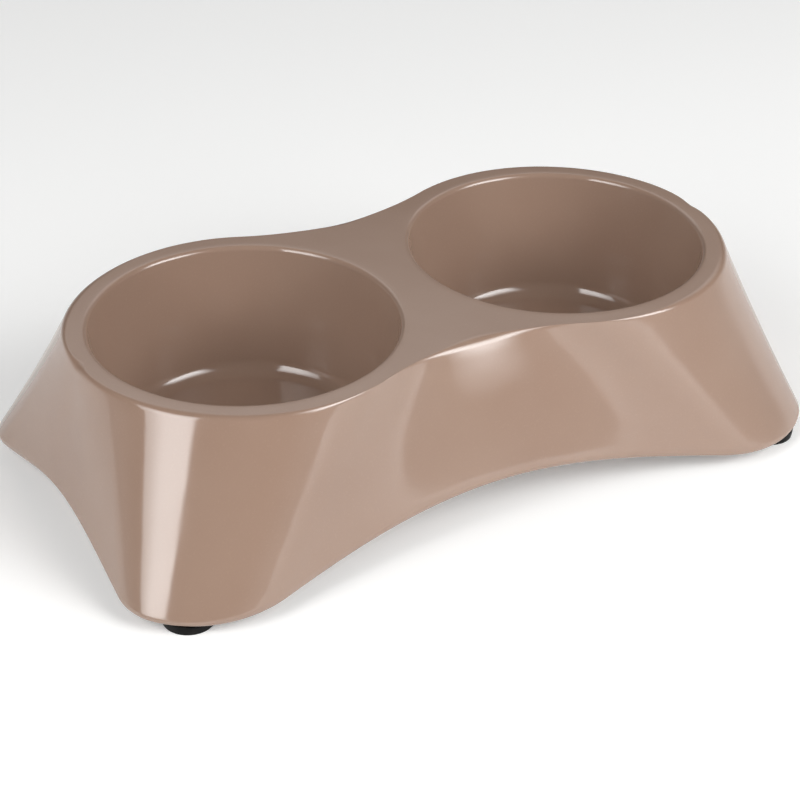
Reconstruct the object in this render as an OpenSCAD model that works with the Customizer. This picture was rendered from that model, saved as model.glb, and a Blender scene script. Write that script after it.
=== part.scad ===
// Double pet bowl: a moulded stand with two round wells and a flared skirt, on four rubber feet.
// X runs along the length, Y across it and Z up. The feet stand on z = 0.

/* [Deck] */
// Height of the deck above the table
deck_h = 72.5; // [65:0.5:90]
// Width of the deck between the two wells
web = 22.2; // [12:0.2:36]
// Width of the deck outside a well, before its edge is rounded
rim_land = 9.4; // [7:0.2:16]
// How far the deck draws in at its waist, on each side
waist_inset = 14.6; // [4:0.1:26]
// Radius that rounds the deck's edge
deck_round = 4; // [1:0.5:6]

/* [Skirt] */
// How far the skirt's corners reach out past the ends of the deck
corner_flare_l = 13.1; // [12:0.1:30]
// How far the skirt's corners reach out past the sides of the deck
corner_flare_w = 22.6; // [17:0.1:40]
// How far the skirt's lower edge stands out from the waist of the deck
side_flare = 21.9; // [10:0.1:30]
// How far the skirt's lower edge stands out from the ends of the deck, in their middle
end_flare = 11; // [4:0.1:12.5]
// Radius of the corners where they face the long sides
corner_side_r = 47; // [36:0.5:56]
// Radius of the corners where they face the ends
corner_end_r = 23.5; // [16:0.5:34]
// Direction, from the long axis, in which the two corner arcs meet
corner_turn = 45; // [33:1:57]
// How far the lower edge rises in the middle of the long sides
side_arch = 14.7; // [0:0.1:22]
// How far the lower edge rises in the middle of the ends
end_arch = 12.5; // [0:0.1:20]
// How far the skirt's corners and ends bow in, halfway down
skirt_hollow = 1.1; // [0:0.1:3]
// How far the skirt bows out in the middle of its long sides, halfway down
side_bow = 1; // [0:0.1:2]
// Wall thickness of the moulding
wall = 3; // [2:0.1:4]

/* [Wells] */
// Diameter of a well's wall just under its rounded rim
well_d = 122.8; // [110:0.2:128]
// Depth of a well
well_depth = 56; // [34:0.5:60]
// Radius that rounds the rim of a well
rim_round = 2; // [0.5:0.1:3]
// Radius between the wall and the floor of a well
floor_round = 7; // [4:0.5:16]
// Draft of a well's wall, in degrees
well_draft = 8; // [1:0.5:12]

/* [Feet] */
// Diameter of a foot under the skirt
foot_d = 21; // [16:0.5:24]
// How far a foot draws in from its top to the face that it stands on
foot_taper = 0.4; // [0.2:0.1:3]
// Height of a foot below the skirt's lowest edge
foot_h = 4; // [2:0.2:8]
// How far a foot's side stands in from the skirt's lower edge
foot_margin = 1.7; // [1:0.1:5]
// Direction of a foot from the corner's centre, from the long axis
foot_turn = 58.5; // [47:0.5:70]
// Diameter of the boss over a foot
boss_d = 15; // [12:0.5:20]
// Diameter of the blind socket in a boss
socket_d = 6.5; // [5:0.1:8]
// Depth of the socket
socket_depth = 9; // [7:0.5:12]
// Gap between the end of a foot's stem and the end of its socket
stem_end_gap = 1; // [0.2:0.1:3]
// Gap all round between the stem's ribs and the socket
stem_fit = 0.05; // [0:0.01:0.2]

/* [Hidden] */
body_colour = "#a98f7f";
rubber_colour = "#1d1b1a";
// Overlap that joins solids and overrun that clears cuts
over = wall / 3;
edge_z = foot_h;

// Deck outline in the first quadrant: waist arc, then the edge circle round the well
well_x = (well_d + web) / 2;
deck_edge_r = well_d / 2 + rim_land;
waist_y = deck_edge_r - waist_inset;
waist_r = (pow(well_x, 2) + pow(waist_y, 2) - pow(deck_edge_r, 2)) / (2 * waist_inset);
waist_turn = atan(well_x / (waist_y + waist_r));
waist_len = arc_len(waist_r, waist_turn);
deck_turn = 90 + waist_turn;

// Skirt outline in the first quadrant: side arc, wide corner arc, tight corner arc, end arc
tight_x = well_x + deck_edge_r + corner_flare_l - corner_end_r;
wide_x = tight_x - (corner_side_r - corner_end_r) * cos(corner_turn);
wide_y = deck_edge_r + corner_flare_w - corner_side_r;
tight_y = wide_y + (corner_side_r - corner_end_r) * sin(corner_turn);
side_y = waist_y + side_flare;
side_r = (pow(wide_x, 2) + pow(side_y - wide_y, 2) - pow(corner_side_r, 2))
    / (2 * (corner_side_r - side_y + wide_y));
side_turn = atan(wide_x / (side_y + side_r - wide_y));
end_x = well_x + deck_edge_r + end_flare;
end_r = (pow(tight_y, 2) + pow(end_x - tight_x, 2) - pow(corner_end_r, 2))
    / (2 * (corner_end_r - end_x + tight_x));
end_turn = atan(tight_y / (end_x + end_r - tight_x));
side_len = arc_len(side_r, side_turn);
wide_len = arc_len(corner_side_r, 90 + side_turn - corner_turn);
tight_len = arc_len(corner_end_r, corner_turn + end_turn);
end_len = arc_len(end_r, end_turn);
foot_reach = corner_side_r - foot_margin - foot_d / 2;
foot_x = wide_x + foot_reach * cos(foot_turn);
foot_y = wide_y + foot_reach * sin(foot_turn);

// The two outlines are matched at these lengths, and smoothly between them.
// The tight corner arc runs up to the deck's edge as far as this share of its own direction.
end_fan_share = 0.4;
end_fan = corner_turn * end_fan_share;
skirt_knots = [0, side_len, side_len + wide_len, side_len + wide_len + tight_len,
    side_len + wide_len + tight_len + end_len];
deck_knots = [0, waist_len, waist_len + arc_len(deck_edge_r, deck_turn - corner_turn),
    waist_len + arc_len(deck_edge_r, deck_turn - end_fan), waist_len + arc_len(deck_edge_r, deck_turn)];
knot_slopes = [for (i = [0:4]) knot_slope(i)];
// Length along the skirt's edge from the side's middle to its lowest place, over the foot
low_len = side_len + arc_len(corner_side_r, 90 + side_turn - foot_turn);
// Steps along each of the four arcs of a quarter
arc_steps = [10, 12, 8, 7];
// Share of the way from a side's middle to its foot over which the skirt keeps bowing out
bow_share = 0.72;
// Steps down the skirt's wall, inside and outside
wall_steps = 5;
// The lower lip is rounded by these shares of the wall's thickness, outside and inside
lip_share = 0.62;
heel_share = 0.1;
// Steps round the deck's edge, the lower lip, a well's floor, a well's rim and a foot's side
round_steps = 4;
lip_steps = 4;
bend_steps = 8;
rim_steps = 6;
dome_steps = 5;
// Facets of the wells, and of the feet with their bosses and sockets
well_facets = 96;
foot_facets = 64;
// Ribs on a foot's stem, and the thickness of the stem between them
rib_count = 3;
stem_core_share = 0.88;

function arc_len(r, turn) = r * turn * PI / 180;
function turn_of(len, r) = len / r * 180 / PI;
function rise(knots, i) = knots[i + 1] - knots[i];
function secant(i) = rise(deck_knots, i) / rise(skirt_knots, i);
function knot_slope(i) = i == 0 ? secant(0) : i == 4 ? secant(3)
    : 2 * secant(i - 1) * secant(i) / (secant(i - 1) + secant(i));

// A point on the deck outline, by its length from the side's middle
function deck_point(len) = len < waist_len
    ? let (t = turn_of(len, waist_r)) [waist_r * sin(t), waist_y + waist_r * (1 - cos(t))]
    : let (t = deck_turn - turn_of(len - waist_len, deck_edge_r))
        [well_x + deck_edge_r * cos(t), deck_edge_r * sin(t)];

// A point on the skirt outline, by its length from the side's middle
function skirt_point(len) =
    len < skirt_knots[1]
    ? let (t = turn_of(len, side_r)) [side_r * sin(t), side_y + side_r * (1 - cos(t))]
    : len < skirt_knots[2]
    ? let (t = 90 + side_turn - turn_of(len - skirt_knots[1], corner_side_r))
        [wide_x + corner_side_r * cos(t), wide_y + corner_side_r * sin(t)]
    : len < skirt_knots[3]
    ? let (t = corner_turn - turn_of(len - skirt_knots[2], corner_end_r))
        [tight_x + corner_end_r * cos(t), tight_y + corner_end_r * sin(t)]
    : let (t = turn_of(skirt_knots[4] - len, end_r)) [end_x + end_r * (1 - cos(t)), end_r * sin(t)];

// The deck length that belongs to a skirt length: a cubic between the knots that keeps its slope
function deck_length(len, i) =
    let (run = rise(skirt_knots, i), gain = rise(deck_knots, i), t = (len - skirt_knots[i]) / run)
    let (a = knot_slopes[i] * run, b = knot_slopes[i + 1] * run)
    deck_knots[i] + a * t + (3 * gain - 2 * a - b) * t * t + (a + b - 2 * gain) * t * t * t;

// Height of the lower edge: zero over the foot, rising smoothly to the middle of each side and end
function arch(len) = len < low_len
    ? side_arch * pow(1 - pow(len / low_len, 2), 2)
    : end_arch * pow(1 - pow((skirt_knots[4] - len) / (skirt_knots[4] - low_len), 2), 3);

// How far the wall bows in: less than zero in the middle of a side, and even from the foot on
function hollow(len) = let (t = min(1, max(0, (len / low_len - bow_share) / (1 - bow_share))))
    (skirt_hollow + side_bow) * t * t * (3 - 2 * t) - side_bow;

// One quarter as rulings: [deck point, skirt point, height of the lower edge, hollow]
quarter = [for (i = [0:3], k = [0:arc_steps[i] - (i < 3 ? 1 : 0)])
    let (len = skirt_knots[i] + rise(skirt_knots, i) * k / arc_steps[i])
    [deck_point(deck_length(len, i)), skirt_point(len), edge_z + arch(len), hollow(len)]];
function flip(q, sx, sy) = [[q[0].x * sx, q[0].y * sy], [q[1].x * sx, q[1].y * sy], q[2], q[3]];
last = len(quarter) - 1;
// All the rulings, clockwise seen from above
rulings = concat(
    quarter,
    [for (i = [last - 1:-1:0]) flip(quarter[i], 1, -1)],
    [for (i = [1:last]) flip(quarter[i], -1, -1)],
    [for (i = [last - 1:-1:1]) flip(quarter[i], -1, 1)]);

// The wall along one ruling, as [distance out, height] from the deck corner
function slope(q) = atan2(deck_h - q[2], norm(q[1] - q[0]));
function on_wall(a, z, depth) = [(deck_h - z) / tan(a) - depth / sin(a), z];
function edge_arc(a) = [for (k = [0:round_steps])
    let (t = a * k / round_steps, back = deck_round * tan(a / 2))
    [deck_round * sin(t) - back, deck_h - deck_round * (1 - cos(t))]];
function corner_arc(a, z, r, depth, from, to, steps) = let (c = on_wall(a, z + r, depth))
    [for (k = [0:steps]) let (t = from + (to - from) * k / steps) c + r * [cos(t), sin(t)]];
function lip_arc(a, z) = let (lip = wall * lip_share, heel = wall * heel_share)
    concat(
        corner_arc(a, z, lip, lip, 90 - a, -90, lip_steps),
        corner_arc(a, z, heel, wall - heel, -90, -90 - a, 1));
// How far the wall bows in along one ruling, at a height
function bow(q, h) = let (u = (deck_h - h) / (deck_h - q[2])) 4 * q[3] * u * (1 - u);
function wall_profile(q) = let (a = slope(q), z = q[2], inner_h = deck_h - wall - z)
    [for (p = concat(
        edge_arc(a),
        [for (k = [1:wall_steps - 1]) on_wall(a, deck_h + (z - deck_h) * k / wall_steps, 0)],
        lip_arc(a, z),
        [for (k = [1:wall_steps]) on_wall(a, z + inner_h * k / wall_steps, wall)]))
        [p[0] - bow(q, p[1]), p[1]]];
function place(q, p) = let (out = (q[1] - q[0]) / norm(q[1] - q[0]))
    [q[0].x + out.x * p[0], q[0].y + out.y * p[0], p[1]];

// A closed solid from rings of points, each ring clockwise seen from above and the first on top
module rings(list) {
    n = len(list[0]);
    last_row = (len(list) - 1) * n;
    polyhedron(
        points = [for (r = list) each r],
        faces = concat(
            [[for (i = [0:n - 1]) i]],
            [for (row = [0:n:last_row - n], i = [0:n - 1]) let (a = row + i, b = row + (i + 1) % n)
                each [[a, a + n, b + n], [a, b + n, b]]],
            [[for (i = [n - 1:-1:0]) last_row + i]]),
        convexity = 6);
}

// Deck, skirt and rounded lower lip as one shell
module shell() {
    profiles = [for (q = rulings) wall_profile(q)];
    rings([for (k = [0:len(profiles[0]) - 1])
        [for (i = [0:len(rulings) - 1]) place(rulings[i], profiles[i][k])]]);
}

// Solid block inside the middle of the wall, which trims the bosses
module core() {
    rings([for (k = [0:wall_steps])
        let (z = deck_h - wall / 2 + (edge_z - deck_h + wall / 2) * k / wall_steps)
        [for (q = rulings) place(q, on_wall(slope(q), z, wall / 2) - [bow(q, z), 0])]]);
}

// Radius of a well's leaning wall at a height, with the wall let out by grow
function well_r(h, grow) = let (rim_z = deck_h - rim_round * (1 - sin(well_draft)))
    well_d / 2 - (rim_z - h) * tan(well_draft) + grow / cos(well_draft);

// Half profile of a well, with its wall let out by grow
module well_profile(grow) {
    floor_z = deck_h - well_depth;
    bend = floor_round + grow;
    bend_x = well_r(floor_z + floor_round * (1 - sin(well_draft)), 0) - floor_round * cos(well_draft);
    polygon(concat(
        [[0, floor_z - grow]],
        [for (k = [0:bend_steps]) let (t = -90 + (90 - well_draft) * k / bend_steps)
            [bend_x + bend * cos(t), floor_z + floor_round + bend * sin(t)]],
        grow > 0 ? [[well_r(deck_h - over, grow), deck_h - over], [0, deck_h - over]] : rim_points()));
}
function rim_points() = let (top = deck_h + over, arc_x = well_d / 2 + rim_round * cos(well_draft))
    concat(
        [for (k = [0:rim_steps]) let (t = well_draft + (90 - well_draft) * k / rim_steps)
            [arc_x - rim_round * cos(t), deck_h - rim_round + rim_round * sin(t)]],
        [[arc_x, top], [0, top]]);

module at_wells() {
    for (sx = [-1, 1])
        translate([sx * well_x, 0, 0]) children();
}

module at_feet() {
    for (sx = [-1, 1], sy = [-1, 1])
        translate([sx * foot_x, sy * foot_y, 0]) children();
}

// The whole moulding: deck, skirt, both wells and the bosses for the feet
module body() {
    color(body_colour)
    difference() {
        union() {
            shell();
            at_wells() rotate_extrude($fn = well_facets) well_profile(wall);
            intersection() {
                core();
                at_feet() translate([0, 0, edge_z]) cylinder(d = boss_d, h = deck_h, $fn = foot_facets);
            }
        }
        at_wells() rotate_extrude($fn = well_facets) well_profile(0);
        at_feet() translate([0, 0, edge_z - over])
            cylinder(d = socket_d, h = socket_depth + over, $fn = foot_facets);
    }
}

// A rubber foot: a tapered head under the lower edge and a ribbed stem in its socket
module foot() {
    head_r = foot_d / 2;
    face_r = head_r - foot_taper;
    rim_h = foot_h / 4;
    rib_r = socket_d / 2 - stem_fit;
    core_r = rib_r * stem_core_share;
    stem_l = socket_depth - stem_end_gap;
    rib_h = stem_l / (2 * rib_count + 2);
    color(rubber_colour)
    rotate_extrude($fn = foot_facets)
        polygon(concat(
            [[0, 0]],
            [for (k = [0:dome_steps]) let (t = 90 * k / dome_steps)
                [face_r + foot_taper * sin(t), (foot_h - rim_h) * (1 - cos(t))]],
            [[head_r, foot_h], [core_r, foot_h]],
            [for (k = [0:rib_count - 1]) let (z = foot_h + rib_h * (1 + 2 * k))
                each [[core_r, z], [rib_r, z], [core_r, z + rib_h]]],
            [[core_r, foot_h + stem_l - rib_h], [core_r - rib_h, foot_h + stem_l], [0, foot_h + stem_l]]));
}

module foot_at(sx, sy) {
    translate([sx * foot_x, sy * foot_y, 0]) foot();
}

body();
foot_at(-1, -1);  // foot_front_left
foot_at(1, -1);  // foot_front_right
foot_at(-1, 1);  // foot_rear_left
foot_at(1, 1);  // foot_rear_right
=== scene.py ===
"""Double pet bowl: a glossy moulded melamine stand with two round wells, on four black rubber feet.

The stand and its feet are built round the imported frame, in metres, with +Z up and the table at z = 0.
"""
from math import atan, atan2, cos, pi, radians, sin, tan, tau

import bmesh
import bpy
from bpy.props import FloatProperty, FloatVectorProperty, IntProperty, PointerProperty
from mathutils import Euler, Matrix, Vector
from mathutils.bvhtree import BVHTree


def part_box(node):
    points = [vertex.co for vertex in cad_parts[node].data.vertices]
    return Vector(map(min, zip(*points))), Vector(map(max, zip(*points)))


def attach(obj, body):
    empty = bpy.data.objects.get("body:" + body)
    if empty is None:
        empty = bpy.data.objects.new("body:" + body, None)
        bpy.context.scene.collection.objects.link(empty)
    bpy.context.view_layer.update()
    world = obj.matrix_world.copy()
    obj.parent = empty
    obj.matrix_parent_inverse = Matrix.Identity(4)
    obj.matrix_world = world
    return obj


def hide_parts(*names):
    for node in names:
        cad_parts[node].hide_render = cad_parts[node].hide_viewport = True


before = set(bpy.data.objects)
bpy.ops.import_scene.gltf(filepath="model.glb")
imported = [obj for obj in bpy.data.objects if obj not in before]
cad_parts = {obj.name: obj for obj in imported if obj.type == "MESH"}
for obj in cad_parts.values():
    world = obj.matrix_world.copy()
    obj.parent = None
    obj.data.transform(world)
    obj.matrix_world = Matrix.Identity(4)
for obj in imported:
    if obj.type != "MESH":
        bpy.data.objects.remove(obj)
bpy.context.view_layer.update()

bl_info = {
    "name": "Double Pet Bowl",
    "version": (1, 0, 0),
    "blender": (4, 5, 0),
    "location": "View3D > Sidebar > Pet Bowl",
    "description": "Builds a moulded double pet bowl with rubber feet on a pale studio floor",
    "category": "Add Mesh",
}

MM = 0.001
BODY_LOW, BODY_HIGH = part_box("body")
FOOT_LOW, FOOT_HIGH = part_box("foot_front_right")
FEET = {name: (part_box(name)[0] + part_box(name)[1]) / 2 for name in sorted(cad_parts) if name != "body"}
QUARTER = pi / 2
MERGE = 0.001 * MM
SHARP = radians(35)
# Parts of a noise's range over which each pattern sets in
CLOUD_RANGE = (0.3, 0.7)
FIBRE_RANGE = (0.56, 0.8)
HAND_RANGE = (0.42, 0.72)
SCUFF_RANGE = (0.45, 0.75)


def linear(code, alpha=1.0):
    """A colour written as sRGB hex, as the linear values that shaders take."""
    parts = [int(code[i:i + 2], 16) / 255 for i in (1, 3, 5)]
    return [p / 12.92 if p <= 0.04045 else ((p + 0.055) / 1.055) ** 2.4 for p in parts] + [alpha]


def size(name, description, default):
    """A length in metres, as a property."""
    return FloatProperty(name=name, description=description, default=default, min=0, unit="LENGTH",
                         precision=5)


def angle(name, description, default):
    """An angle, written in degrees, as a property."""
    return FloatProperty(name=name, description=description, default=radians(default), subtype="ANGLE",
                         precision=4)


def colour(name, description, code):
    """A colour, written as sRGB hex, as a property."""
    return FloatVectorProperty(
        name=name, description=description, default=linear(code), size=4, min=0, max=1, subtype="COLOR")


def amount(name, description, default):
    """A plain number from zero up, as a property."""
    return FloatProperty(name=name, description=description, default=default, min=0, precision=4)


class StandSizes(bpy.types.PropertyGroup):
    """Sizes of the moulded stand"""
    deck_height: size("Deck height", "Height of the deck above the table", BODY_HIGH.z)
    edge_height: size("Edge height", "Height of the skirt's lowest edge above the table", BODY_LOW.z)
    well_diameter: size("Well diameter", "Diameter of a well's wall just under its rim", 122.8 * MM)
    well_depth: size("Well depth", "Depth of a well", 56 * MM)
    well_draft: angle("Well draft", "Lean of a well's wall from upright", 8)
    rim_round: size("Rim rounding", "Radius that rounds the rim of a well", 2 * MM)
    floor_round: size("Floor rounding", "Radius between the wall and the floor of a well", 7 * MM)
    web: size("Web", "Width of the deck between the two wells", 22.2 * MM)
    rim_land: size("Rim land", "Width of the deck outside a well, before its edge is rounded", 9.4 * MM)
    waist_inset: size("Waist inset", "How far the deck draws in at its waist, on each side", 14.6 * MM)
    deck_round: size("Deck rounding", "Radius that rounds the deck's edge", 4 * MM)
    corner_flare_long: size("Corner flare, ends", "Reach of the skirt's corners past the deck's ends",
                            13.1 * MM)
    corner_flare_wide: size("Corner flare, sides", "Reach of the skirt's corners past the deck's sides",
                            22.6 * MM)
    side_flare: size("Side flare", "Reach of the skirt's lower edge past the deck's waist", 21.9 * MM)
    end_flare: size("End flare", "Reach of the skirt's lower edge past the middle of the deck's ends", 11 * MM)
    corner_side_radius: size("Corner radius, sides", "Radius of the corners where they face the sides",
                             47 * MM)
    corner_end_radius: size("Corner radius, ends", "Radius of the corners where they face the ends", 23.5 * MM)
    corner_turn: angle("Corner turn", "Direction in which the two corner arcs meet, from the long axis", 45)
    side_arch: size("Side arch", "Rise of the lower edge in the middle of the sides", 14.7 * MM)
    end_arch: size("End arch", "Rise of the lower edge in the middle of the ends", 12.5 * MM)
    skirt_hollow: size("Skirt hollow", "How far the skirt's corners and ends bow in, halfway down", 1.1 * MM)
    side_bow: size("Side bow", "How far the skirt bows out in the middle of its sides, halfway down", 1 * MM)
    wall: size("Wall", "Wall thickness of the moulding", 3 * MM)
    inner_round: size("Inner rounding", "Radius of the hollow corners under the deck", 1.5 * MM)
    boss_diameter: size("Boss diameter", "Diameter of the boss over a foot", 15 * MM)
    socket_diameter: size("Socket diameter", "Diameter of the blind socket in a boss", 6.5 * MM)
    socket_depth: size("Socket depth", "Depth of the socket in a boss", 9 * MM)


class FootSizes(bpy.types.PropertyGroup):
    """Sizes of a rubber foot"""
    diameter: size("Diameter", "Diameter of a foot at its top", FOOT_HIGH.x - FOOT_LOW.x)
    taper: size("Taper", "How far a foot draws in from its top to the face that it stands on", 0.4 * MM)
    stem_length: size("Stem length", "Length of the stem that plugs into the stand", 8 * MM)
    stem_diameter: size("Stem diameter", "Diameter of the stem over its ribs", 6.4 * MM)
    rib_depth: size("Rib depth", "How far a rib stands out from the stem", 0.4 * MM)
    ribs: IntProperty(name="Ribs", description="Number of ribs on the stem", default=3, min=1, max=6)


class MelamineFinish(bpy.types.PropertyGroup):
    """Colours and surface of the moulded melamine"""
    base: colour("Colour", "Body colour of the melamine", "#9a8171")
    cloud: colour("Cloud", "Colour that the filler clouds the melamine with", "#957b6b")
    cloud_size: size("Cloud size", "Width of the clouds in the colour", 55 * MM)
    fleck: colour("Fleck", "Colour of the fine fibres in the filler", "#a38a79")
    fleck_size: size("Fleck size", "Width of the fine fibres in the filler, drawn coarse enough to show",
                     0.9 * MM)
    fleck_strength: amount("Fleck strength", "How strongly the fine fibres show", 0.2)
    gloss: amount("Gloss", "Roughness of the moulded skin where it is clean", 0.09)
    haze: amount("Haze", "Roughness of the moulded skin where hands have dulled it", 0.15)
    haze_size: size("Haze size", "Width of the dulled patches", 24 * MM)
    wear: amount("Wear", "Roughness of the lower lip, where it rubs on the floor", 0.34)
    wear_height: size("Wear height", "How high above the lowest edge the lip is rubbed", 4 * MM)
    wave_size: size("Wave size", "Width of the slow waves that moulding leaves in the skin", 21 * MM)
    wave_depth: size("Wave depth", "Depth of the slow waves", 0.1 * MM)
    peel_size: size("Peel size", "Width of the fine ripple in the gloss", 3.2 * MM)
    peel_depth: size("Peel depth", "Depth of the fine ripple", 0.0014 * MM)
    refraction: amount("Refraction", "Index of refraction of the melamine", 1.7)


class RubberFinish(bpy.types.PropertyGroup):
    """Colours and surface of the moulded rubber"""
    base: colour("Colour", "Colour of the rubber", "#0c0b0b")
    worn: colour("Worn", "Colour of the rubber where it is scuffed and dusty", "#242220")
    worn_size: size("Worn size", "Width of the scuffed patches", 5 * MM)
    smooth: amount("Smooth", "Roughness of the moulded skin", 0.45)
    scuffed: amount("Scuffed", "Roughness of the scuffed rubber", 0.7)
    sheen: amount("Sheen", "How strongly the skin mirrors its surroundings", 0.1)
    grain_size: size("Grain size", "Width of the grain in the skin, drawn coarse enough to show", 0.5 * MM)
    grain_depth: size("Grain depth", "Depth of the grain in the skin", 0.02 * MM)


class PaperFinish(bpy.types.PropertyGroup):
    """Colours and surface of the studio's background paper"""
    base: colour("Colour", "Colour of the paper", "#f6f6f5")
    shade: colour("Shade", "Colour of the paper's fibres", "#f2f2f1")
    fibre_size: size("Fibre size", "Width of the paper's fibres, drawn coarse enough to show", 1.4 * MM)
    roughness: amount("Roughness", "Roughness of the matte paper", 0.9)
    sheen: amount("Sheen", "How strongly the paper mirrors its surroundings", 0.2)
    glow: amount("Glow", "Light that the paper gives off round the stand, as if lit from its own side", 0.2)
    glow_near: size("Glow near", "Distance from the stand up to which the paper glows evenly", 600 * MM)
    glow_far: size("Glow far", "Distance from the stand at which the glow has faded away", 2200 * MM)
    # Painted glow: far from the stand the flat paper gives off light of its own, standing in for the studio's
    # walls
    wall_glow: amount("Wall glow", "Light that the paper gives off where it runs up to the walls", 0.4)
    wall_near: size("Wall near", "Distance from the stand from which the wall glow grows", 1200 * MM)
    wall_far: size("Wall far", "Distance from the stand at which the wall glow is full", 1900 * MM)


class Studio(bpy.types.PropertyGroup):
    """Camera and lights"""
    azimuth: angle("Camera azimuth", "Direction that the camera looks in, from the stand's width", 29.81)
    elevation: angle("Camera elevation", "How steeply the camera looks down", 31.99)
    roll: angle("Camera roll", "Turn of the camera about its own line of sight", 0.75)
    distance: size("Camera distance", "Distance of the camera from its target", 804.05 * MM)
    target_x: FloatProperty(name="Target X", description="Where the camera looks on the deck, along it",
                            default=-47.67 * MM, unit="LENGTH")
    target_y: FloatProperty(name="Target Y", description="Where the camera looks on the deck, across it",
                            default=-80.21 * MM, unit="LENGTH")
    lens: FloatProperty(name="Lens", description="Focal length of the camera", default=97.835, unit="CAMERA")
    sky: amount("Sky", "Strength of the even light from above", 0.03)
    horizon: amount("Horizon", "Strength of the light that the walls give back at floor height", 0.45)
    horizon_reach: angle("Horizon reach", "Elevation at which the light from the walls has faded away", 16)


def box_settings(azimuth, elevation, lean_azimuth, lean_elevation, width, low, high, power, edge, fade):
    """The settings of a soft box that stands 1.5 m from the stand."""
    return {
        "azimuth": angle("Azimuth", "Direction of the light from the stand, to the right of the camera",
                         azimuth),
        "elevation": angle("Elevation", "How high the light stands, seen from the stand", elevation),
        "distance": size("Distance", "Distance of the light from the stand", 1500 * MM),
        "lean_azimuth": angle("Lean azimuth", "Direction that the light's height runs in, from the camera's",
                              lean_azimuth),
        "lean_elevation": angle("Lean elevation", "How steeply the light's height rises", lean_elevation),
        "width": size("Width", "Width of the light", width),
        "low": size("Below", "How far the light reaches down from its centre", low),
        "high": size("Above", "How far the light reaches up from its centre", high),
        "power": FloatProperty(name="Power", description="Power of the light", default=power, min=0,
                               unit="POWER"),
        "edge": amount("Edge", "Brightness of the light's edges, as a share of its middle", edge),
        "fade": FloatVectorProperty(
            name="Fade", description="Shares of the light over which it fades towards its left, right, lower "
            "and upper edges", default=fade, size=4, min=0.001, max=1)}


class LeftSoftBox(bpy.types.PropertyGroup):
    """The tall soft box that stands to the left of the camera and leans over the stand"""
    __annotations__ = box_settings(
        azimuth=-45, elevation=30, lean_azimuth=167, lean_elevation=53.5, width=770 * MM, low=500 * MM,
        high=850 * MM, power=19.5, edge=0.5, fade=(0.5, 0.05, 0.1, 0.4))


class RightSoftBox(bpy.types.PropertyGroup):
    """The broad soft box that stands to the right of the camera"""
    __annotations__ = box_settings(
        azimuth=60, elevation=30, lean_azimuth=-120, lean_elevation=60, width=1150 * MM, low=520 * MM,
        high=850 * MM, power=42, edge=0.1, fade=(0.3, 0.25, 0.25, 0.5))


class BackSoftBox(bpy.types.PropertyGroup):
    """The broad, faint soft box behind the stand, which lifts the deck"""
    __annotations__ = box_settings(
        azimuth=180, elevation=42, lean_azimuth=0, lean_elevation=48, width=3000 * MM, low=450 * MM,
        high=600 * MM, power=9, edge=0.1, fade=(0.3, 0.3, 0.4, 0.4))


class PetBowlSettings(bpy.types.PropertyGroup):
    """All the settings of the double pet bowl"""
    stand: PointerProperty(type=StandSizes)
    foot: PointerProperty(type=FootSizes)
    melamine: PointerProperty(type=MelamineFinish)
    rubber: PointerProperty(type=RubberFinish)
    paper: PointerProperty(type=PaperFinish)
    studio: PointerProperty(type=Studio)
    left_box: PointerProperty(type=LeftSoftBox)
    right_box: PointerProperty(type=RightSoftBox)
    back_box: PointerProperty(type=BackSoftBox)


# Outlines

def between(a, b, steps):
    """The places that part the way from a to b into equal steps, without the two ends."""
    return [tuple(p + (q - p) * k / steps for p, q in zip(a, b)) for k in range(1, steps)]


def hollow_arc(along, out, radius):
    """Radius and turn of the arc that flows into two like corner arcs.

    The corners' centres lie along to each side of its middle, which stands out from the line between them.
    """
    hollow = (along ** 2 + out ** 2 - radius ** 2) / (2 * (radius - out))
    return hollow, atan(along / (out + hollow))


class Outline:
    """A quarter of an outline, made of arcs that join smoothly, from the side's middle to the end's."""

    def __init__(self, *arcs):
        self.arcs = arcs
        self.knots = [0.0]
        for _x, _y, radius, start, end in arcs:
            self.knots.append(self.knots[-1] + radius * abs(end - start))

    def point(self, length):
        """The place at a length along the outline."""
        i = max(k for k in range(len(self.arcs)) if k == 0 or length >= self.knots[k])
        x, y, radius, start, end = self.arcs[i]
        turn = start + (end - start) * (length - self.knots[i]) / (self.knots[i + 1] - self.knots[i])
        return Vector((x + radius * cos(turn), y + radius * sin(turn)))


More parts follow.
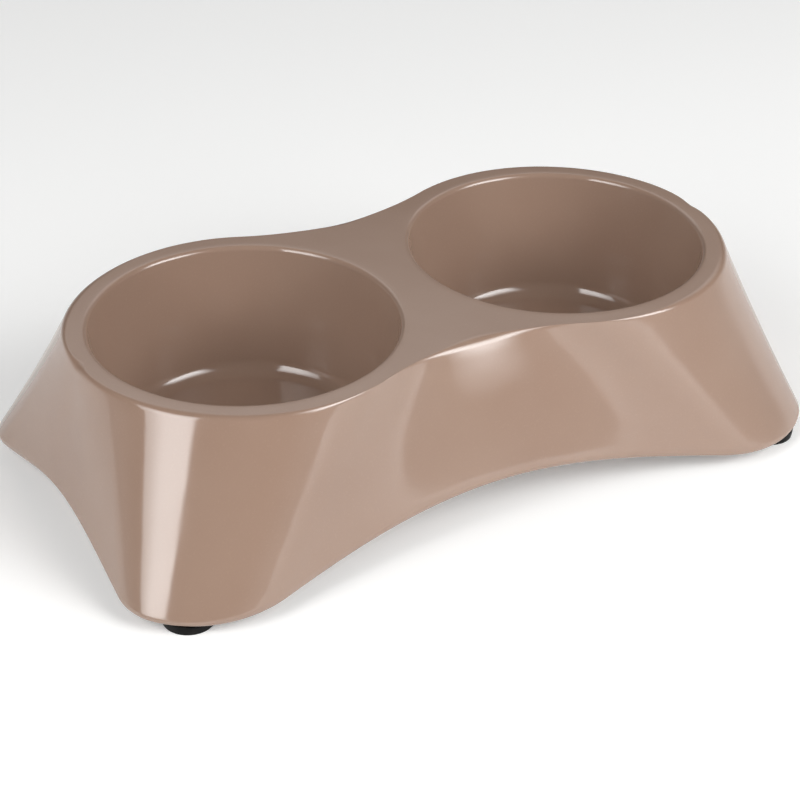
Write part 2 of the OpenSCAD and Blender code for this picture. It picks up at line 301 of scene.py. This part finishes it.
class Stand:
    """The stand's outlines and the lines down its wall, worked out from its sizes."""

    END_FAN_SHARE, BOW_SHARE = 0.4, 0.72
    ARC_STEPS = (36, 44, 28, 24)
    EDGE_STEPS, WALL_STEPS, LIP_STEPS, HEEL_STEPS, INSIDE_STEPS = 8, 14, 12, 4, 8
    LIP_SHARE, HEEL_SHARE = 0.62, 0.1
    SUPPORT = 0.25 * MM

    def __init__(self, s):
        self.s = s
        self.well_x = (s.well_diameter + s.web) / 2
        edge = s.well_diameter / 2 + s.rim_land
        waist_y = edge - s.waist_inset
        waist, waist_turn = hollow_arc(self.well_x, waist_y, edge)
        deck_turn = QUARTER + waist_turn
        self.deck = Outline(
            (0, waist_y + waist, waist, -QUARTER, waist_turn - QUARTER),
            (self.well_x, 0, edge, deck_turn, 0))
        side_r, end_r, turn = s.corner_side_radius, s.corner_end_radius, s.corner_turn
        tight_x = self.well_x + edge + s.corner_flare_long - end_r
        wide_x = tight_x - (side_r - end_r) * cos(turn)
        wide_y = edge + s.corner_flare_wide - side_r
        tight_y = wide_y + (side_r - end_r) * sin(turn)
        side_y, end_x = waist_y + s.side_flare, self.well_x + edge + s.end_flare
        side, side_turn = hollow_arc(wide_x, side_y - wide_y, side_r)
        end, end_turn = hollow_arc(tight_y, end_x - tight_x, end_r)
        self.skirt = Outline(
            (0, side_y + side, side, -QUARTER, side_turn - QUARTER),
            (wide_x, wide_y, side_r, QUARTER + side_turn, turn),
            (tight_x, tight_y, end_r, turn, -end_turn),
            (end_x + end, 0, end, pi - end_turn, pi))
        self.deck_knots = [0] + [self.deck.knots[1] + edge * (deck_turn - a)
                                 for a in (deck_turn, turn, turn * self.END_FAN_SHARE, 0)]
        foot = FEET["foot_rear_right"]
        foot_turn = atan2(foot.y - wide_y, foot.x - wide_x)
        self.low = self.skirt.knots[1] + side_r * (QUARTER + side_turn - foot_turn)
        self.rulings = self.make_rulings()

    def deck_length(self, length, i):
        """The deck length that belongs to a skirt length: a cubic between knots that keeps its slope."""
        down, up = self.skirt.knots, self.deck_knots
        secants = [(up[k + 1] - up[k]) / (down[k + 1] - down[k]) for k in range(4)]
        slopes = [secants[0]] + [2 * a * b / (a + b) for a, b in zip(secants, secants[1:])] + [secants[3]]
        run, gain = down[i + 1] - down[i], up[i + 1] - up[i]
        t, a, b = (length - down[i]) / run, slopes[i] * run, slopes[i + 1] * run
        return up[i] + a * t + (3 * gain - 2 * a - b) * t ** 2 + (a + b - 2 * gain) * t ** 3

    def arch(self, length):
        """Rise of the lower edge: zero over the foot, and highest in the middle of each side and end."""
        if length < self.low:
            return self.s.side_arch * (1 - (length / self.low) ** 2) ** 2
        last = self.skirt.knots[4]
        return self.s.end_arch * (1 - ((last - length) / (last - self.low)) ** 2) ** 3

    def hollow(self, length):
        """How far the wall bows in: less than zero in the middle of a side, and even from the foot on."""
        t = min(1, max(0, (length / self.low - self.BOW_SHARE) / (1 - self.BOW_SHARE)))
        return (self.s.skirt_hollow + self.s.side_bow) * t ** 2 * (3 - 2 * t) - self.s.side_bow

    def make_rulings(self):
        """The lines down a quarter of the wall: deck point, skirt point, height of the edge and hollow."""
        made = []
        for i, steps in enumerate(self.ARC_STEPS):
            low, high = self.skirt.knots[i], self.skirt.knots[i + 1]
            for k in range(steps + (i == len(self.ARC_STEPS) - 1)):
                length = low + (high - low) * k / steps
                made.append((self.deck.point(self.deck_length(length, i)), self.skirt.point(length),
                             self.s.edge_height + self.arch(length), self.hollow(length)))
        return made

    def on_wall(self, slope, height, depth):
        """Distance out from the deck's edge line, at a height and a depth inside the wall's outer face."""
        return (self.s.deck_height - height) / tan(slope) - depth / sin(slope), height

    def corner(self, slope, height, radius, depth, start, end, steps):
        """An arc in the wall's section, with its centre at a height and a depth inside the outer face."""
        out, up = self.on_wall(slope, height, depth)
        turns = [start + (end - start) * k / steps for k in range(steps + 1)]
        return [(out + radius * cos(t), up + radius * sin(t)) for t in turns]

    def wall_line(self, ruling):
        """Places over the deck's edge, down the wall, round the lip and up the inside, along one ruling."""
        s = self.s
        top, bottom, low, hollow = ruling
        run = bottom - top
        slope = atan2(s.deck_height - low, run.length)
        back, ceiling = s.deck_round * tan(slope / 2), s.deck_height - s.wall
        lip, heel, r = s.wall * self.LIP_SHARE, s.wall * self.HEEL_SHARE, s.inner_round
        edge = [(s.deck_round * sin(t) - back, s.deck_height - s.deck_round * (1 - cos(t)))
                for t in (slope * k / self.EDGE_STEPS for k in range(self.EDGE_STEPS + 1))]
        around = self.corner(slope, low + lip, lip, lip, QUARTER - slope, -QUARTER, self.LIP_STEPS)
        around += self.corner(slope, low + heel, heel, s.wall - heel, -QUARTER, -QUARTER - slope,
                              self.HEEL_STEPS)
        inner = self.corner(slope, ceiling - r, r, s.wall + r, QUARTER - slope, QUARTER, self.EDGE_STEPS)
        line = [(-back - self.SUPPORT, s.deck_height), *edge, *between(edge[-1], around[0], self.WALL_STEPS),
                *around, *between(around[-1], inner[0], self.INSIDE_STEPS), *inner,
                (inner[-1][0] - self.SUPPORT, ceiling)]
        out = run.normalized()
        places = []
        for along, up in line:
            share = (s.deck_height - up) / (s.deck_height - low)
            along -= 4 * hollow * share * (1 - share)
            places.append(Vector((top.x + out.x * along, top.y + out.y * along, up)))
        return places


# Mesh building

def lofted(lines):
    """A sheet through like lines of places: a row of edges through the lines' first places, extruded from
    place to place."""
    mesh = bmesh.new()
    share = mesh.verts.layers.float.new("share")
    last = len(lines) - 1
    first, end = mesh.verts.new((0, 0, 0)), mesh.verts.new((1, 0, 0))
    end[share] = 1
    bmesh.ops.subdivide_edges(mesh, edges=[mesh.edges.new((first, end))], cuts=last - 1)
    row, verts = mesh.edges[:], mesh.verts[:]
    for place in range(len(lines[0])):
        if place:
            made = bmesh.ops.extrude_edge_only(mesh, edges=row)["geom"]
            verts = [g for g in made if isinstance(g, bmesh.types.BMVert)]
            row = [g for g in made if isinstance(g, bmesh.types.BMEdge)]
        for v in verts:
            v.co = lines[round(v[share] * last)][place]
    return mesh


def turned(mesh, corners, centre=(0, 0), angle_turned=tau, steps=96, round_steps=8):
    """Spins a profile about an upright axis. Each corner of the profile is radius, height, rounding."""
    old = set(mesh.verts)
    flat = [Vector((centre[0] + r, centre[1], z)) for r, z, _ in corners]
    verts = [mesh.verts.new(p) for p in flat]
    for pair in zip(verts, verts[1:]):
        mesh.edges.new(pair)
    for i, (_, _, rounding) in enumerate(corners):
        if rounding:
            bend = (flat[i] - flat[i - 1]).angle(flat[i + 1] - flat[i])
            bmesh.ops.bevel(mesh, geom=[verts[i]], offset=rounding * tan(bend / 2), offset_type="OFFSET",
                            segments=round_steps, profile=0.5, affect="VERTICES", material=-1)
    chain = [v for v in mesh.verts if v not in old]
    edges = list({e for v in chain for e in v.link_edges})
    bmesh.ops.spin(mesh, geom=chain + edges, cent=(*centre, 0), axis=(0, 0, 1), dvec=(0, 0, 0),
                   angle=angle_turned, steps=steps, use_merge=angle_turned == tau, use_normal_flip=False,
                   use_duplicate=False)
    bmesh.ops.remove_doubles(mesh, verts=[v for v in mesh.verts if v not in old], dist=MERGE)


def fill_level(mesh, height, up):
    """Closes the flat gap between all open edges at one height."""
    rim = [e for e in mesh.edges if e.is_boundary and all(abs(v.co.z - height) < MERGE for v in e.verts)]
    bmesh.ops.triangle_fill(mesh, use_beauty=True, use_dissolve=False, edges=rim, normal=(0, 0, up))


def piece_of(mesh, name, material):
    """Turns a bmesh into a smooth piece, whose edges stay sharp where they bend by more than SHARP."""
    data = bpy.data.meshes.new(name)
    mesh.to_mesh(data)
    mesh.free()
    data.shade_smooth()
    data.set_sharp_from_angle(angle=SHARP)
    data.materials.append(material)
    piece = bpy.data.objects.new(name, data)
    bpy.context.scene.collection.objects.link(piece)
    return piece


def combine(piece, tool, operation):
    """Joins a closed mesh to a piece or cuts it away, exactly, and throws the tool away."""
    step = piece.modifiers.new(operation, "BOOLEAN")
    step.operation, step.solver, step.object = operation, "EXACT", tool
    made = bpy.data.meshes.new_from_object(piece.evaluated_get(bpy.context.evaluated_depsgraph_get()))
    if not made.polygons:
        raise RuntimeError(f"{tool.name} couldn't be combined with {piece.name}")
    piece.modifiers.clear()
    old, piece.data = piece.data, made
    made.name = old.name.split(".")[0]
    bpy.data.meshes.remove(old)
    bpy.data.objects.remove(tool)


# Materials

def fill(tree, node, inputs):
    """Fills a node's inputs: an output of another node is linked, any other value is set."""
    for name, value in inputs.items():
        if isinstance(value, bpy.types.NodeSocket):
            tree.links.new(value, node.inputs[name])
        else:
            node.inputs[name].default_value = value
    return node


def add(tree, kind, inputs, **settings):
    """Adds a node, with its settings and inputs."""
    node = tree.nodes.new(kind)
    for name, value in settings.items():
        setattr(node, name, value)
    return fill(tree, node, inputs)


def new_material(name):
    """A material, with its node tree, its shader and the object's own coordinates."""
    material = bpy.data.materials.new(name)
    material.use_nodes = True
    tree = material.node_tree
    return material, tree, tree.nodes["Principled BSDF"], add(tree, "ShaderNodeTexCoord", {}).outputs["Object"]


def moulded_melamine(s, lowest):
    """Filled melamine pressed in a polished mould: a hard, clean gloss over a warm taupe.

    Broad clouds and fine pale fibres keep the colour from looking flat, slow waves and a fine ripple make
    the edges of reflections wander, hands have dulled the gloss in patches, and the lower lip is rubbed.
    The fibres are drawn coarser than the real ones, so that they show.
    """
    material, tree, shader, place = new_material("Moulded melamine")
    clouds = add(tree, "ShaderNodeTexNoise", {
        "Vector": place, "Scale": 1 / s.cloud_size, "Detail": 3}).outputs[0]
    clouds = add(tree, "ShaderNodeMapRange", {
        "Value": clouds, "From Min": CLOUD_RANGE[0], "From Max": CLOUD_RANGE[1]}).outputs[0]
    tint = add(tree, "ShaderNodeMix", {0: clouds, 6: s.base, 7: s.cloud}, data_type="RGBA").outputs[2]
    fibres = add(tree, "ShaderNodeTexNoise", {
        "Vector": place, "Scale": 1 / s.fleck_size, "Detail": 1}).outputs[0]
    fibres = add(tree, "ShaderNodeMapRange", {
        "Value": fibres, "From Min": FIBRE_RANGE[0], "From Max": FIBRE_RANGE[1],
        "To Max": s.fleck_strength}).outputs[0]
    tint = add(tree, "ShaderNodeMix", {0: fibres, 6: tint, 7: s.fleck}, data_type="RGBA").outputs[2]
    hands = add(tree, "ShaderNodeTexNoise", {
        "Vector": place, "Scale": 1 / s.haze_size, "Detail": 4}).outputs[0]
    skin = add(tree, "ShaderNodeMapRange", {
        "Value": hands, "From Min": HAND_RANGE[0], "From Max": HAND_RANGE[1],
        "To Min": s.gloss, "To Max": s.haze}).outputs[0]
    height = add(tree, "ShaderNodeSeparateXYZ", {"Vector": place}).outputs["Z"]
    rubbed = add(tree, "ShaderNodeMapRange", {
        "Value": height, "From Min": lowest + s.wear_height, "From Max": lowest,
        "To Min": skin, "To Max": s.wear}).outputs[0]
    waves = add(tree, "ShaderNodeTexNoise", {
        "Vector": place, "Scale": 1 / s.wave_size, "Detail": 1}).outputs[0]
    peel = add(tree, "ShaderNodeTexNoise", {
        "Vector": place, "Scale": 1 / s.peel_size, "Detail": 1}).outputs[0]
    ripple = add(tree, "ShaderNodeBump", {"Height": peel, "Distance": s.peel_depth}).outputs[0]
    swell = add(tree, "ShaderNodeBump", {
        "Height": waves, "Distance": s.wave_depth, "Normal": ripple}).outputs[0]
    fill(tree, shader, {"Base Color": tint, "Roughness": rubbed, "IOR": s.refraction, "Normal": swell})
    return material


def moulded_rubber(s):
    """Black rubber from a mould: a dull skin with a fine grain, scuffed and dusty in small patches.

    The grain is drawn coarser than the real one, so that it shows.
    """
    material, tree, shader, place = new_material("Moulded rubber")
    scuffs = add(tree, "ShaderNodeTexNoise", {
        "Vector": place, "Scale": 1 / s.worn_size, "Detail": 5}).outputs[0]
    scuffs = add(tree, "ShaderNodeMapRange", {
        "Value": scuffs, "From Min": SCUFF_RANGE[0], "From Max": SCUFF_RANGE[1]}).outputs[0]
    tint = add(tree, "ShaderNodeMix", {0: scuffs, 6: s.base, 7: s.worn}, data_type="RGBA").outputs[2]
    skin = add(tree, "ShaderNodeMapRange", {
        "Value": scuffs, "To Min": s.smooth, "To Max": s.scuffed}).outputs[0]
    grain = add(tree, "ShaderNodeTexNoise", {
        "Vector": place, "Scale": 1 / s.grain_size, "Detail": 2}).outputs[0]
    bumps = add(tree, "ShaderNodeBump", {"Height": grain, "Distance": s.grain_depth}).outputs[0]
    fill(tree, shader, {
        "Base Color": tint, "Roughness": skin, "Normal": bumps, "Specular IOR Level": s.sheen})
    return material


def studio_paper(s):
    """Matte background paper, lit from its own side so that it stays nearly white under the stand.

    Its painted glow fades away from the stand and rises again far off, where the flat paper stands in for the
    studio's walls. Its fibres are drawn coarser than the real ones, so that they show.
    """
    material, tree, shader, place = new_material("Studio paper")
    fibres = add(tree, "ShaderNodeTexNoise", {
        "Vector": place, "Scale": 1 / s.fibre_size, "Detail": 3}).outputs[0]
    tint = add(tree, "ShaderNodeMix", {0: fibres, 6: s.base, 7: s.shade}, data_type="RGBA").outputs[2]
    away = add(tree, "ShaderNodeVectorMath", {0: place}, operation="LENGTH").outputs["Value"]
    glow = add(tree, "ShaderNodeMapRange", {
        "Value": away, "From Min": s.glow_near, "From Max": s.glow_far,
        "To Min": s.glow, "To Max": 0}, interpolation_type="SMOOTHSTEP").outputs[0]
    # Painted glow far off, where the flat paper stands in for the studio's walls
    wall = add(tree, "ShaderNodeMapRange", {
        "Value": away, "From Min": s.wall_near, "From Max": s.wall_far,
        "To Max": s.wall_glow}, interpolation_type="SMOOTHSTEP").outputs[0]
    glow = add(tree, "ShaderNodeMath", {0: glow, 1: wall}, operation="ADD").outputs[0]
    fill(tree, shader, {
        "Base Color": tint, "Roughness": s.roughness, "Specular IOR Level": s.sheen,
        "Emission Color": (1, 1, 1, 1), "Emission Strength": glow})
    return material


# Operators

class PETBOWL_OT_stand(bpy.types.Operator):
    """Build the moulded stand: deck, wells, skirt and the bosses for the feet"""
    bl_idname = "petbowl.stand"
    bl_label = "Moulded stand"
    bl_options = {"REGISTER", "UNDO"}

    WELL_STEPS, WELL_ROUND_STEPS = 88, 10
    BOSS_STEPS = 64

    def execute(self, context):
        settings = context.scene.pet_bowl
        s, shape = settings.stand, Stand(settings.stand)
        mesh = lofted([shape.wall_line(ruling) for ruling in shape.rulings])
        self.half_wells(mesh, s, shape)
        for axis in "XY":
            bmesh.ops.mirror(mesh, geom=mesh.verts[:] + mesh.edges[:] + mesh.faces[:], merge_dist=MERGE,
                             axis=axis)
        fill_level(mesh, s.deck_height, 1)
        fill_level(mesh, s.deck_height - s.wall, -1)
        bmesh.ops.recalc_face_normals(mesh, faces=mesh.faces)
        shell = BVHTree.FromBMesh(mesh)
        piece = piece_of(mesh, "melamine_stand", moulded_melamine(settings.melamine, s.edge_height))
        combine(piece, self.bosses(s, shell), "UNION")
        combine(piece, self.sockets(s), "DIFFERENCE")
        piece.data.set_sharp_from_angle(angle=SHARP)
        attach(piece, "root")
        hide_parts("body")
        return {"FINISHED"}

    def half_wells(self, mesh, s, shape):
        """The inside and the underside of half a well, as spun profiles."""
        floor, under, deck = s.deck_height - s.well_depth, s.deck_height - s.wall, s.deck_height
        spin = {"centre": (shape.well_x, 0), "angle_turned": pi, "steps": self.WELL_STEPS,
                "round_steps": self.WELL_ROUND_STEPS}
        rim, cup = self.well_radius(s, deck), self.well_radius(s, under, s.wall)
        turned(mesh, [
            (0, floor, 0),
            (self.well_radius(s, floor), floor, s.floor_round),
            (rim, deck, s.rim_round),
            (rim + 2 * s.rim_round, deck, 0)], **spin)
        turned(mesh, [
            (0, floor - s.wall, 0),
            (self.well_radius(s, floor - s.wall, s.wall), floor - s.wall, s.floor_round + s.wall),
            (cup, under, s.inner_round),
            (cup + s.inner_round + shape.SUPPORT, under, 0)], **spin)

    def well_radius(self, s, height, out=0):
        """Radius of the well's leaning wall at a height, moved out by a thickness."""
        fall = s.deck_height - s.rim_round * (1 - sin(s.well_draft)) - height
        return s.well_diameter / 2 - tan(s.well_draft) * fall + out / cos(s.well_draft)

    def bosses(self, s, shell):
        """A boss over each foot, from the lowest edge up into the middle of the sloping wall."""
        mesh = bmesh.new()
        for centre in FEET.values():
            place = Matrix.Translation((centre.x, centre.y, s.edge_height + s.wall / 2))
            made = bmesh.ops.create_cone(mesh, cap_ends=True, segments=self.BOSS_STEPS, depth=s.wall,
                                         radius1=s.boss_diameter / 2, radius2=s.boss_diameter / 2,
                                         matrix=place)["verts"]
            for v in (v for v in made if v.co.z > place.translation.z):
                met = shell.ray_cast(Vector((v.co.x, v.co.y, 0)), Vector((0, 0, 1)))[0]
                v.co.z = met.z + s.wall / 2
        bmesh.ops.triangulate(mesh, faces=[f for f in mesh.faces if len(f.verts) > 4])
        bmesh.ops.recalc_face_normals(mesh, faces=mesh.faces)
        return piece_of(mesh, "boss_tool", None)

    def sockets(self, s):
        """A blind hole up into each boss."""
        mesh = bmesh.new()
        for centre in FEET.values():
            low, high = s.edge_height - s.wall, s.edge_height + s.socket_depth
            place = Matrix.Translation((centre.x, centre.y, (low + high) / 2))
            bmesh.ops.create_cone(mesh, cap_ends=True, segments=self.BOSS_STEPS, depth=high - low,
                                  radius1=s.socket_diameter / 2, radius2=s.socket_diameter / 2,
                                  matrix=place)
        return piece_of(mesh, "socket_tool", None)


class PETBOWL_OT_feet(bpy.types.Operator):
    """Build the four press-in rubber feet"""
    bl_idname = "petbowl.feet"
    bl_label = "Rubber feet"
    bl_options = {"REGISTER", "UNDO"}

    STEPS, ROUND_STEPS = 96, 5
    DIMPLE_SHARE, SINK_SHARE, HEAD_SHARE = 0.35, 0.15, 0.8
    FACE_ROUND, HEAD_ROUND, TOP_ROUND = 0.35 * MM, 0.3 * MM, 0.15 * MM
    RIB_ROUND, SOFT_ROUND = 0.1 * MM, 0.2 * MM

    def execute(self, context):
        settings = context.scene.pet_bowl
        s, height = settings.foot, settings.stand.edge_height
        rubber = moulded_rubber(settings.rubber)
        for name, centre in FEET.items():
            mesh = bmesh.new()
            turned(mesh, self.profile(s, height), centre=(centre.x, centre.y), steps=self.STEPS,
                   round_steps=self.ROUND_STEPS)
            bmesh.ops.recalc_face_normals(mesh, faces=mesh.faces)
            piece = piece_of(mesh, "rubber_" + name, rubber)
            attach(piece, "root")
            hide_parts(name)
        return {"FINISHED"}

    def profile(self, s, height):
        """The foot's profile, from the dimple under it to the end of its stem: radius, height, rounding."""
        top, face = s.diameter / 2, s.diameter / 2 - s.taper
        dimple, sink = face * self.DIMPLE_SHARE, height * self.SINK_SHARE
        stem = s.stem_diameter / 2
        core = stem - s.rib_depth
        rib, end = s.stem_length / (2 * s.ribs + 2), height + s.stem_length
        line = [
            (0, sink, 0),
            (dimple - sink, sink, self.SOFT_ROUND),
            (dimple, 0, self.SOFT_ROUND),
            (face, 0, self.FACE_ROUND),
            (top, height * self.HEAD_SHARE, self.HEAD_ROUND),
            (top, height, self.TOP_ROUND),
            (core, height, 0)]
        for k in range(s.ribs):
            low = height + rib * (1 + 2 * k)
            line += [(core, low, 0), (stem, low, self.RIB_ROUND), (core, low + rib, 0)]
        return line + [(core, end - rib, 0), (core - rib, end, self.SOFT_ROUND), (0, end, 0)]


class PETBOWL_OT_stage(bpy.types.Operator):
    """Build the pale studio floor, the lights and the camera"""
    bl_idname = "petbowl.stage"
    bl_label = "Studio"
    bl_options = {"REGISTER", "UNDO"}

    FLOOR_REACH = 6
    SENSOR, NEAREST, FARTHEST = 36, 0.01, 50

    def execute(self, context):
        settings = context.scene.pet_bowl
        mesh = bmesh.new()
        bmesh.ops.create_grid(mesh, x_segments=1, y_segments=1, size=self.FLOOR_REACH)
        floor = piece_of(mesh, "studio_floor", studio_paper(settings.paper))
        self.camera(context, settings.studio, settings.stand.deck_height)
        self.walls(context, settings.studio)
        for side in ("left", "right", "back"):
            box = getattr(settings, side + "_box")
            self.soft_box(context, side + "_soft_box", box, settings.studio.azimuth)
        context.scene.view_settings.view_transform = "Standard"
        return {"FINISHED"}

    def walls(self, context, s):
        """The light that the studio's walls give back: strongest at floor height, and faint from above."""
        world = bpy.data.worlds.new("Studio")
        world.use_nodes = True
        tree = world.node_tree
        way = add(tree, "ShaderNodeTexCoord", {}).outputs["Object"]
        height = add(tree, "ShaderNodeSeparateXYZ", {"Vector": way}).outputs["Z"]
        sky = add(tree, "ShaderNodeMapRange", {
            "Value": height, "From Max": sin(s.horizon_reach), "To Min": s.horizon,
            "To Max": s.sky}, interpolation_type="SMOOTHSTEP").outputs[0]
        fill(tree, tree.nodes["Background"], {"Color": (1, 1, 1, 1), "Strength": sky})
        context.scene.world = world

    def soft_box(self, context, name, s, camera_azimuth):
        """A rectangular light that faces the stand and that the camera doesn't see."""
        lamp = bpy.data.lights.new(name, "AREA")
        lamp.shape, lamp.energy = "RECTANGLE", s.power
        lamp.size, lamp.size_y = s.width, s.low + s.high
        lamp.use_nodes = True
        tree = lamp.node_tree
        across = add(tree, "ShaderNodeNewGeometry", {}).outputs["Parametric"]
        across = add(tree, "ShaderNodeSeparateXYZ", {"Vector": across}).outputs
        glow = 1
        for k, share in enumerate(s.fade):
            start, end = (1, 1 - share) if k % 2 else (0, share)
            side = add(tree, "ShaderNodeMapRange", {
                "Value": across[k // 2], "From Min": start, "From Max": end,
                "To Min": s.edge}, interpolation_type="SMOOTHSTEP").outputs[0]
            glow = add(tree, "ShaderNodeMath", {0: side, 1: glow}, operation="MULTIPLY").outputs[0]
        fill(tree, tree.nodes["Emission"], {"Strength": glow})
        box = bpy.data.objects.new(name, lamp)
        towards = self.direction(s.azimuth, s.elevation, camera_azimuth)
        up = self.direction(s.lean_azimuth, s.lean_elevation, camera_azimuth)
        back = (towards - up * towards.dot(up)).normalized()
        place = towards * s.distance + up * (s.high - s.low) / 2
        turn = Matrix((up.cross(back), up, back)).transposed()
        box.matrix_world = Matrix.Translation(place) @ turn.to_4x4()
        box.visible_camera = False
        context.scene.collection.objects.link(box)

    def direction(self, azimuth, elevation, camera_azimuth):
        """A direction from the stand: azimuth counts to the right from the way to the camera."""
        turn = azimuth - camera_azimuth
        return Vector((sin(turn) * cos(elevation), -cos(turn) * cos(elevation), sin(elevation)))

    def camera(self, context, s, deck_height):
        """The camera, at the photograph's viewing angle."""
        lens = bpy.data.cameras.new("Camera")
        lens.lens, lens.sensor_width = s.lens, self.SENSOR
        lens.clip_start, lens.clip_end = self.NEAREST, self.FARTHEST
        camera = bpy.data.objects.new("Camera", lens)
        turn = Euler((QUARTER - s.elevation, 0, -s.azimuth)).to_matrix() @ Matrix.Rotation(s.roll, 3, "Z")
        back = turn @ Vector((0, 0, 1))
        place = Vector((s.target_x, s.target_y, deck_height)) + back * s.distance
        camera.matrix_world = Matrix.Translation(place) @ turn.to_4x4()
        context.scene.collection.objects.link(camera)
        context.scene.camera = camera


class PETBOWL_PT_panel(bpy.types.Panel):
    """Lists the pieces of the double pet bowl and their settings"""
    bl_label = "Double Pet Bowl"
    bl_idname = "PETBOWL_PT_panel"
    bl_space_type = "VIEW_3D"
    bl_region_type = "UI"
    bl_category = "Pet Bowl"

    def draw(self, context):
        settings = context.scene.pet_bowl
        for operator, names in (
                (PETBOWL_OT_stand, ("stand", "melamine")),
                (PETBOWL_OT_feet, ("foot", "rubber")),
                (PETBOWL_OT_stage, ("studio", "paper", "left_box", "right_box", "back_box"))):
            box = self.layout.box()
            box.operator(operator.bl_idname)
            for group in (getattr(settings, name) for name in names):
                box.label(text=group.bl_rna.description)
                for name in group.__annotations__:
                    box.prop(group, name)


CLASSES = (StandSizes, FootSizes, MelamineFinish, RubberFinish, PaperFinish, Studio, LeftSoftBox, RightSoftBox,
           BackSoftBox, PetBowlSettings, PETBOWL_OT_stand, PETBOWL_OT_feet, PETBOWL_OT_stage, PETBOWL_PT_panel)


def register():
    """Registers the classes and hangs the settings on the scene."""
    for cls in CLASSES:
        bpy.utils.register_class(cls)
    bpy.types.Scene.pet_bowl = PointerProperty(type=PetBowlSettings)


def unregister():
    """Takes away what register added."""
    del bpy.types.Scene.pet_bowl
    for cls in reversed(CLASSES):
        bpy.utils.unregister_class(cls)


def main():
    """Builds everything in order."""
    register()
    bpy.ops.petbowl.stand()
    bpy.ops.petbowl.feet()
    bpy.ops.petbowl.stage()


if __name__ == "__main__":
    main()
